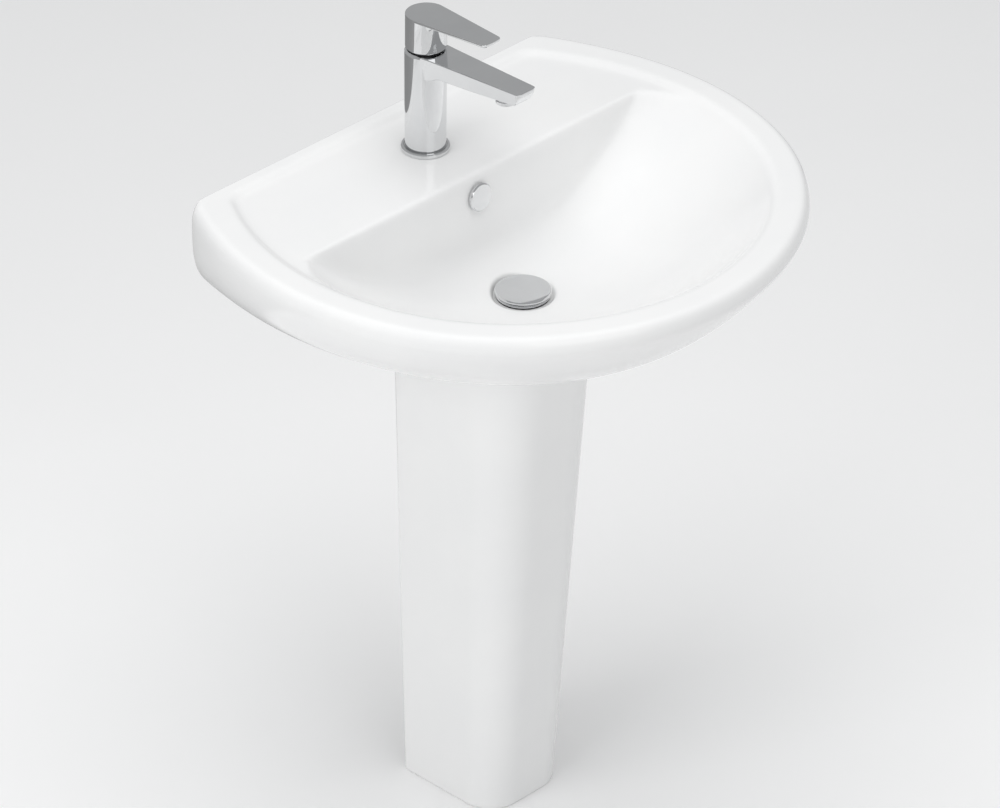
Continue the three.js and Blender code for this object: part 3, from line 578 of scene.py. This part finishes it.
    # even out along the outline a little, so that the corner rays flow into each other
    for _ in range(3):
        rows[1:-1] = 0.25 * rows[:-2] + 0.5 * rows[1:-1] + 0.25 * rows[2:]
    left = rows[1:-1][::-1].copy()
    left[:, :, 0] *= -1
    full = np.concatenate([rows, left])  # closed loop of rays
    full[:, :, 2] += RIM
    rings = [full[:, j] for j in range(1, full.shape[1] - 1)]
    return grid(rings, close_first=full[0, 0], close_last=full[0, -1])


v, f = basin_mesh()
basin = mesh_object("basin_body", v, f, 30)

# hollow behind the bowl, open underneath
f0 = 119.0
half = [[22, f0 + 16], [26, f0], [150, f0 - 1], [196, f0 + 2], [214, f0 + 20], [226, 205], [212, 258], [190, 264]]
loop = np.array(half + [[-x, y] for x, y in half[::-1]])
loop = rounded(loop, [6, 8, 30, 30, 26, 30, 22, 16] + [16, 22, 30, 26, 30, 30, 8, 6], closed=True, n=5)
mid = loop.mean(0)
hol = []
for z, k in ((-20, 0.93), (-21.2, 0.955), (-24, 0.98), (-30, 1.0), (-190, 0.985)):
    p = mid + (loop - mid) * k
    hol.append(np.column_stack([p, np.full(len(p), RIM + z)]))
hv, hf = grid(hol, close_first=(0, 230, RIM - 20), close_last=(0, 230, RIM - 190))
cuts = [
    mesh_object("cut", hv, hf),
    rod_cut(17.5, RIM - 60, RIM + 10, 0, TAP_Y),
    rod_cut(22.5, RIM - 170, RIM - 120, 0, DRAIN_Y),
    rod_cut_y(10, 22, (0, RIDGE_Y - TILT * (34 - DECK) - 6, OVER_Z)),
    rod_cut(6.5, RIM - 141, OVER_Z + 2, 0, 118.5, 24),
    rod_cut_y(4.6, 80, (0, DRAIN_Y + 15, RIM - 141), 24),
    rod_cut_y(8, 40, (-140, WALL - 30, RIM - 72), 40),
    rod_cut_y(8, 40, (140, WALL - 30, RIM - 72), 40),
]
boolean(basin, cuts)
shade(basin, 34)
finish_piece(basin, "basin")


# ------------------------------------------------------------------ pedestal
def ped_half(z, inset, rear):
    w = 63.7 + 22.3 * z / 658 - inset
    fy = 13.2 - 42.8 * z / 658 + inset
    r = 40 + 20 * z / 658 - inset * 0.6
    pts = [(0.0, fy)]
    n = 22
    for i in range(1, 7):
        pts.append(((w - r) * i / 7, fy))
    for i in range(n + 1):
        t = math.pi / 2 * i / n
        pts.append((w - r + r * math.sin(t), fy + r - r * math.cos(t)))
    for i in range(1, 15):
        pts.append((w, fy + r + (rear - fy - r) * i / 14))
    return np.array(pts)


def ped_section(z, e):
    """Outer and inner walk round the wall, both from front middle to the middle of the rear end; e pulls both faces in."""
    R = 5.6
    out = ped_half(z, e, PED_REAR - R)
    inn = ped_half(z, 12 - e, PED_REAR - R)
    xm = 0.5 * (out[-1][0] + inn[-1][0])
    hw = 0.5 * (out[-1][0] - inn[-1][0])
    ends = np.linspace(0, math.pi / 2, 8)[1:]
    oe = np.array([(xm + hw * math.cos(t), PED_REAR - R + (R - e * 0.4) * math.sin(t)) for t in ends])
    ie = np.array([(xm - hw * math.cos(t), PED_REAR - R + (R - e * 0.4) * math.sin(t)) for t in ends])
    return np.vstack([out, oe]), np.vstack([inn, ie])


def pedestal_mesh():
    levels = [(0.0, 3.0), (0.35, 1.6), (1.2, 0.6), (2.6, 0.05)] + [(z, 0.0) for z in np.linspace(6, PED_TOP - 9, 60)]
    levels += [(PED_TOP - 4.2, 0.05), (PED_TOP - 2.2, 0.6), (PED_TOP - 0.7, 2.0), (PED_TOP, 4.4)]
    rings = []
    for z, e in levels:
        o, i = ped_section(z, e)
        m = len(o)
        right = [np.append(p, z) for p in o] + [np.append(p, z) for p in i[::-1][1:]]
        left = [np.array([-p[0], p[1], z]) for p in i[1:]] + [np.array([-p[0], p[1], z]) for p in o[::-1][1:-1]]
        rings.append(np.array(right + left))
    n = len(rings[0])
    v, f = grid(rings)
    top = (len(rings) - 1) * n
    # loop order: outer right 0..m-1, inner right m..2m-2 (back to the front middle), inner left, outer left
    m_in = 2 * m - 2
    cap = []
    for k in range(m - 1):
        a, b = k, k + 1
        c, d = m_in - (k + 1), m_in - k
        cap.append((a, b, c, d) if b != c else (a, b, d))
    for k in range(m - 1):
        a, b = (n - k) % n, (n - k - 1) % n
        c, d = m_in + k + 1, m_in + k
        cap.append((a, d, c, b) if b != c else (a, d, c))
    for q in cap:
        f.append(tuple(q[::-1]))
        f.append(tuple(top + i for i in q))
    return v, f


v, f = pedestal_mesh()
ped = mesh_object("pedestal_column", v, f, 34)


def pad_block(x0, x1, y0, y1, z0, z1, r, top_r):
    rect = np.array([[x0, y0], [x1, y0], [x1, y1], [x0, y1]], float)
    rings = []
    for z, e in ((z0, 0.0), (z1 - top_r, 0.0), (z1 - 0.3 * top_r, 0.3 * top_r), (z1, top_r)):
        q = rect + np.array([[e, e], [-e, e], [-e, -e], [e, -e]])
        p = rounded(q, r, closed=True, n=6)
        rings.append(np.column_stack([p, np.full(len(p), z)]))
    c = ((x0 + x1) / 2, (y0 + y1) / 2)
    v, f = grid(rings, close_first=(*c, z0), close_last=(*c, z1))
    return mesh_object("cut", v, f)


boolean(ped, [pad_block(30, 58, 121, 151, 0.2, 14, 5, 2), pad_block(-58, -30, 121, 151, 0.2, 14, 5, 2)], "UNION")
boolean(ped, [rod_cut(4.2, -2, 20, -40, 136, 40), rod_cut(4.2, -2, 20, 40, 136, 40)])
shade(ped, 34)
finish_piece(ped, "pedestal")


# ------------------------------------------------------------------ mixer
def section_loft(name, secs, cap_inset=1.0):
    v, f = grid(secs, close_first=secs[0].mean(0), close_last=secs[-1].mean(0))
    return mesh_object(name, v, f, 32)


def spout_section(y, wt, wb, zt, zb, rt, rb):
    h = zt - zb
    rt, rb = min(rt, 0.3 * h), min(rb, 0.3 * h)
    q = [(-wt, zt), (wt, zt), (wb, zb), (-wb, zb)]
    p = rounded(q, [rt, rt, rb, rb], closed=True, n=7, support=0.35)
    return np.column_stack([p[:, 0], np.full(len(p), y), p[:, 1]])


def zs(y):
    return BODY_TOP + (TAP_Y - y) * 6.2 / REACH


def spout_mesh():
    d = np.array([2, 24, 34, 70, 113, 135, 149.5, 156.4])
    wt = np.array([22.2, 20.9, 20.35, 18.7, 16.8, 15.9, 15.3, 15.0])
    wb = np.array([18.4, 17.0, 16.6, 14.8, 13.0, 12.2, 12.0, 13.8])
    drop = np.array([34, 28, 22.5, 21.5, 19.2, 17.8, 16.8, 3.4])
    tip = 4.4
    ds = list(np.linspace(2, 30, 14)) + list(np.linspace(34, 118, 22)) + list(np.linspace(120, 146, 16)) + list(np.linspace(147, 151.8, 10))
    ds += [REACH - tip * (1 - math.sin(math.radians(a))) for a in (8, 20, 32, 44, 55, 66, 75, 83, 88)]
    # section sizes along the spout, with their bends eased
    fine = np.linspace(0, 160, 1601)
    ease = lambda a, s: np.convolve(np.pad(np.interp(fine, d, a), 200, mode="edge"), np.exp(-0.5 * (np.arange(-200, 201) * 0.1 / s) ** 2) / np.exp(-0.5 * (np.arange(-200, 201) * 0.1 / s) ** 2).sum(), "same")[200:-200]
    WT, WB, DR = ease(wt, 2.5), ease(wb, 1.6), ease(drop, 1.5)
    secs = []
    for q in ds:
        y = TAP_Y - q
        a, b, c = np.interp(q, fine, WT), np.interp(q, fine, WB), np.interp(q, fine, DR)
        k = 0.0
        if q > REACH - tip:
            u = (q - (REACH - tip)) / tip
            k = tip * (1 - math.sqrt(max(0.0, 1 - u * u)))
        c = max(c, 3.0)
        secs.append(spout_section(y, a - k, min(b, a - 0.4) - k, zs(y) - 0.02, zs(y) - c, 0.8, 1.6))
    # rounded lip at the very front
    last = secs[-1]
    ctr = last.mean(0)
    for e, dy in ((0.25, 0.16), (0.6, 0.26), (1.1, 0.3)):
        p = last.copy()
        p[:, 0] = ctr[0] + (p[:, 0] - ctr[0]) * (1 - e / 11)
        p[:, 2] = ctr[2] + (p[:, 2] - ctr[2]) * (1 - e / 1.6)
        p[:, 1] -= dy
        secs.append(p)
    return section_loft("spout", secs)


bz0 = DECK_Z + 4.7
body_prof = [[0, bz0], [23.2, bz0], [23.45, bz0 + 3], [24.1, BODY_TOP - 3.0], [22.3, BODY_TOP], [0, BODY_TOP]]
body = turned("mixer_body", body_prof, (0, TAP_Y, 0), seg=192, r=0.45, n=4)
boolean(body, [spout_mesh()], "UNION")
AER_Y = TAP_Y - 124.4
AER_Z = zs(AER_Y) - 19.0
boolean(body, [
    rod_cut(24.9, BODY_TOP, BODY_TOP + 12, 0, TAP_Y, 128),
    rod_cut(18.2, BODY_TOP - 42, BODY_TOP + 12, 0, TAP_Y),
    rod_cut(19.3, BODY_TOP - 14, BODY_TOP + 12, 0, TAP_Y),
    rod_cut(13.5, bz0 - 1, bz0 + 34, 0, TAP_Y),
    rod_cut(11.2, AER_Z - 4, AER_Z + 9.5, 0, AER_Y),
])
shade(body, 30)
finish_piece(body, "mixer_body_spout")

ring_p = [[18, 1.7], [25.9, 1.7], [25.9, 0.4], [27.9, 0.4], [28, 0.9], [28, 4.3], [27.0, 5.3], [24.4, 5.5], [24.4, 4.4], [18, 4.4]]
finish_piece(turned("mixer_base_trim", ring_p, (0, TAP_Y, DECK_Z), seg=192, r=0.5, n=5), "mixer_base_ring")
aer_p = [[7.6, -3.2], [11.6, -3.2], [11.9, -2.6], [11.9, 1.2], [10.9, 1.3], [10.9, 8.8], [9.2, 8.8], [9.2, 1.6], [7.6, 1.6]]
finish_piece(turned("aerator_ring", aer_p, (0, AER_Y, AER_Z - 2.2), seg=128, r=0.5, n=4), "aerator_housing")

# lever
HUB_Z0 = BODY_TOP + 1.8
LEVER_TIP = TAP_Y - 103.9


def lz(y):
    return LEVER_TOP + (TAP_Y - y) * 3.0 / 103.9


def plate_outline(inset):
    r = HUB_R - inset
    w = 13.2 - inset
    yt = LEVER_TIP + inset
    # tangent from the round back to the tip corner
    pts = [np.array((r * math.cos(t), r * math.sin(t) + TAP_Y)) for t in np.linspace(-0.115, math.pi + 0.115, 73)]
    tip = rounded([pts[-1], (-w, yt + 0.6), (0, yt - 0.7), (w, yt + 0.6), pts[0]], [0, 4.4, 60, 4.4, 0], n=9, support=0.5)
    a, b = pts[-1], tip[1]
    side = [a + (b - a) * k for k in np.linspace(0, 1, 14)[1:-1]]
    c, d = tip[-2], pts[0]
    side2 = [c + (d - c) * k for k in np.linspace(0, 1, 14)[1:-1]]
    return np.array(pts + side + list(tip[1:-1]) + side2)


def plate_ring(inset, dz):
    p = plate_outline(inset)
    return np.column_stack([p, [lz(q[1]) + dz for q in p]])


secs = [plate_ring(i, z) for i, z in ((2.2, -4.75), (1.4, -4.6), (0.7, -4.2), (0.25, -3.8), (0.05, -3.4), (0.0, -2.9), (0.0, -0.75), (0.08, -0.4), (0.3, -0.1), (0.6, 0.0), (1.1, 0.02))]
pv, pf = grid(secs, close_first=(0, TAP_Y - 40, lz(TAP_Y - 40) - 4.75), close_last=(0, TAP_Y - 40, lz(TAP_Y - 40) + 0.02))
plate = mesh_object("cut", pv, pf)
hub = turned("lever", [[0, HUB_Z0], [HUB_R - 1.5, HUB_Z0], [HUB_R, HUB_Z0 + 2.2], [HUB_R, LEVER_TOP - 1.2], [0, LEVER_TOP - 1.2]], (0, TAP_Y, 0), seg=192, r=0.5, n=4)
root = []
for q in np.linspace(8, 38, 24):
    y = TAP_Y - q
    u = min(1.0, max(0.0, (q - 18) / 20))
    zb = lz(y) - 4.3 - 9.0 * (1 - u) ** 2.2
    root.append(spout_section(y, 19.5 - 0.10 * q, 17.5 - 0.12 * q, lz(y) - 2.2, zb, 0.5, min(3.0, 0.4 * (lz(y) - 2.2 - zb))))
boolean(hub, [section_loft("cut", root), plate], "UNION")
SCREW_Z = BODY_TOP + 14
boolean(hub, [
    rod_cut(21, HUB_Z0 - 3, HUB_Z0 + 6, 0, TAP_Y, 96),
    rod_cut(5.4, HUB_Z0 - 3, BODY_TOP + 19.4, 0, TAP_Y, 48),
    rod_cut_y(2.6, 30, (0, TAP_Y + 2, SCREW_Z)),
    rod_cut_y(4.2, 6, (0, TAP_Y + 19.7, SCREW_Z)),
])
shade(hub, 30)
finish_piece(hub, "lever_handle")

# ------------------------------------------------------------------ overflow cover and waste
OV = RIDGE_Y - TILT * (34 - DECK)
t = math.radians(90 - LEAN)
rot = [[1, 0, 0], [0, math.cos(t), -math.sin(t)], [0, math.sin(t), math.cos(t)]]
cover = turned("overflow_disc", [[0, 1], [15.6, 1], [16.6, 1.8], [16.6, 4.7], [15.3, 6], [0, 6.25]], (0, 0, 0), None, 160, 0.45, 5)
boolean(cover, [pad_block(-4, 4, -18, -13.5, -1, 3.4, 0.8, 0.4), pad_block(-4, 4, 13.5, 18, -1, 3.4, 0.8, 0.4)])
cover.data.transform(Matrix.Translation(Vector((0, OV, OVER_Z)) / 1000) @ Matrix(rot).to_4x4())
shade(cover, 30)
finish_piece(cover, "overflow_cover")

cap_p = [[0, SEAT + 5.9], [31.2, SEAT + 5.9], [32.4, SEAT + 6.9], [32.4, SEAT + 8.2], [31.4, SEAT + 9.5], [24, SEAT + 9.85], [12, SEAT + 10.1], [0, SEAT + 10.2]]
finish_piece(turned("waste_plug_cap", cap_p, (0, DRAIN_Y, 0), seg=192, r=0.7, n=6), "waste_cap")
tube_p = [[18.6, SEAT - 62], [21.6, SEAT - 62], [21.6, SEAT + 1.6], [30.4, SEAT + 1.6], [31, SEAT + 2.5], [28.6, SEAT + 3.9], [22, SEAT + 3.4], [18.6, SEAT + 1]]
tube = turned("waste_flange_tube", tube_p, (0, DRAIN_Y, 0), seg=160, r=0.35, n=3)
boolean(tube, [rod_cut_y(4.4, 60, (0, DRAIN_Y - 30, SEAT - 8), 32)])
shade(tube, 30)
finish_piece(tube, "waste_tube")

# ------------------------------------------------------------------ tailpiece and bottle trap
TE = SEAT - 62
finish_piece(turned("tail_tube", [[14.2, 520], [15.9, 520], [15.9, TE - 7], [20.9, TE - 7], [20.9, TE - 0.3], [14.2, TE - 0.3]], (0, DRAIN_Y, 0), seg=128, r=0.4, n=3), "tailpiece")
trap = turned("trap_bottle", [[26, 448], [30, 448], [30, 552], [24, 560], [16.2, 560], [16.2, 555], [20, 552], [26, 546]], (0, DRAIN_Y, 0), seg=128, r=1.6, n=4)
stub = turned("cut", [[12.0, 0], [17.5, 0], [17.5, 24], [12.0, 24]], (0, DRAIN_Y + 24, 525), ALONG_Y, 96, 0.4, 3)
boolean(trap, [stub], "UNION")
boolean(trap, [rod_cut_y(14.6, 30, (0, DRAIN_Y + 20, 525), 96), rod_cut(26, 449, 545, 0, DRAIN_Y, 96)])
shade(trap, 30)
finish_piece(trap, "trap_body")
finish_piece(turned("trap_top_nut", [[16.3, 560.3], [22.5, 560.3], [22.5, 570], [19, 574], [16.3, 574]], (0, DRAIN_Y, 0), seg=128, r=0.9, n=4), "trap_inlet_nut")
finish_piece(turned("trap_bottom_cup", [[0, 430], [20, 430], [27, 433], [32.5, 440], [32.5, 462], [30.4, 462], [30.4, 447.5], [25, 447.5], [25, 441], [0, 437]], (0, DRAIN_Y, 0), seg=160, r=1.4, n=5), "trap_cup")
finish_piece(turned("trap_side_nut", [[16.6, 0], [23, 0], [23, 12], [20, 15], [16.6, 15]], (0, DRAIN_Y + 48.4, 525), ALONG_Y, 128, 0.9, 4), "trap_outlet_nut")
P0 = DRAIN_Y + 50
finish_piece(turned("outlet_tube", [[14.4, 0], [16, 0], [16, WALL - 2 - P0], [14.4, WALL - 2 - P0]], (0, P0, 525), ALONG_Y, 128, 0.3, 3), "outlet_pipe")
finish_piece(turned("wall_rosette", [[16.5, 0], [22, 0], [34, 6.0], [35, 7.2], [35, 8], [16.5, 8]], (0, WALL - 8.2, 525), ALONG_Y, 128, 1.2, 4), "wall_flange")

# ------------------------------------------------------------------ the CAD nodes that stay, with softened edges
for name, o in frame["nodes"].items():
    o.data.materials.clear()
    o.data.materials.append(MATS[SLOT[name]])
    if o.hide_render:
        continue
    o.data.shade_smooth()
    o.data.set_sharp_from_angle(angle=math.radians(32))
    if name != "click_spring":
        bv = o.modifiers.new("soft_edges", "BEVEL")
        bv.width = 0.00035
        bv.segments = 2
        bv.limit_method = "ANGLE"
        bv.angle_limit = math.radians(38)
        bv.harden_normals = False

# ------------------------------------------------------------------ floor, camera, light
fl = bpy.data.meshes.new("floor")
S = 9.0
nx = 24
gx = np.linspace(-S, S, nx)
vv = [(float(x), float(y), 0.0) for y in gx for x in gx]
ff = [(j * nx + i, j * nx + i + 1, (j + 1) * nx + i + 1, (j + 1) * nx + i) for j in range(nx - 1) for i in range(nx - 1)]
fl.from_pydata(vv, [], ff)
floor = bpy.data.objects.new("studio_floor", fl)
bpy.context.scene.collection.objects.link(floor)
fm, fnt, fb = principled("floor_paper", Roughness=0.9, Specular_IOR_Level=0.1)
fco = tex_coord(fnt)
fnt.links.new(ramp(fnt, noise(fnt, fco, 3.0, 4.0, 0.5), [(0.3, (0.925, 0.925, 0.925)), (0.7, (0.935, 0.935, 0.935))]), fb.inputs["Base Color"])
floor.data.materials.append(fm)
fb.inputs["Emission Color"].default_value = (1, 1, 1, 1)
fb.inputs["Emission Strength"].default_value = 0.05

# a dark grey sheet on the studio floor far behind the basin, hidden from the camera, diffuse light and shadows: it is
# seen only in reflections, as a painted dark reflection band in the chrome
cl = bpy.data.meshes.new("dark_reflection_sheet")
cl.from_pydata([(-2.6, 0.75, 0.004), (2.6, 0.75, 0.004), (2.6, 4.2, 0.004), (-2.6, 4.2, 0.004)], [], [(0, 1, 2, 3)])
reflection_sheet = bpy.data.objects.new("dark_reflection_sheet", cl)
bpy.context.scene.collection.objects.link(reflection_sheet)
cm, cnt_, cb_ = principled("dark_reflection_sheet_grey", Roughness=0.9, Specular_IOR_Level=0.1)
cnt_.links.new(ramp(cnt_, noise(cnt_, tex_coord(cnt_), 3.0, 3.0, 0.5), [(0.3, (0.34, 0.34, 0.34)), (0.7, (0.38, 0.38, 0.38))]), cb_.inputs["Base Color"])
cl.materials.append(cm)
# painted reflection: this sheet shows only in glossy reflections, never to the camera, in diffuse light or as a shadow
reflection_sheet.visible_camera = False
reflection_sheet.visible_diffuse = False
reflection_sheet.visible_shadow = False

cam_data = bpy.data.cameras.new("camera")
cam = bpy.data.objects.new("camera", cam_data)
bpy.context.scene.collection.objects.link(cam)
bpy.context.scene.camera = cam
cam_data.sensor_width = 36.0
cam_data.lens = 252.0
cam_data.clip_end = 60.0
al, th = math.radians(45.01), math.radians(31.96)
backv = Vector((-math.sin(al) * math.cos(th), -math.cos(al) * math.cos(th), math.sin(th)))
right = Vector((math.cos(al), -math.sin(al), 0))
up = backv.cross(right)
base = Matrix((right, up, backv)).transposed()
aim = Vector(((500 - 376.3) / 7000, -(404 - 406.8) / 7000, -1)).normalized()
small = Vector((0, 0, -1)).rotation_difference(aim).to_matrix()
cam.matrix_world = Matrix.Translation(Vector((-4962 * K, WALL - 4974 * K, RIM + 3987 * K)) / 1000) @ (base @ small).to_4x4()


def soft_light(name, at, target, size, size_y, power, color=(1, 1, 1)):
    d = bpy.data.lights.new(name, "AREA")
    d.shape = "RECTANGLE"
    d.size, d.size_y = size, size_y
    d.energy = power
    d.color = color
    o = bpy.data.objects.new(name, d)
    bpy.context.scene.collection.objects.link(o)
    o.location = at
    o.rotation_euler = (Vector(target) - Vector(at)).to_track_quat("-Z", "Y").to_euler()
    return o


key = soft_light("key", (-3.8, 0.2, 2.2), (0, 0, 0.6), 2.8, 2.8, 47)
top = soft_light("top", (-0.1, -0.2, 4.2), (0, 0, 0.7), 3.6, 3.6, 81)
key.visible_glossy = False  # large diffused sources: they light the glaze without showing in it
top.visible_glossy = False
soft_light("front_fill", (-1.4, -4.2, 2.6), (0, 0, 0.8), 3.2, 2.4, 26)

world = bpy.data.worlds.new("studio")
bpy.context.scene.world = world
world.use_nodes = True
wn = world.node_tree
bg = wn.nodes["Background"]
bg.inputs["Color"].default_value = (0.93, 0.94, 0.95, 1)
bg.inputs["Strength"].default_value = 0.45

vs = bpy.context.scene.view_settings
vs.view_transform = "Standard"
vs.look = "None"

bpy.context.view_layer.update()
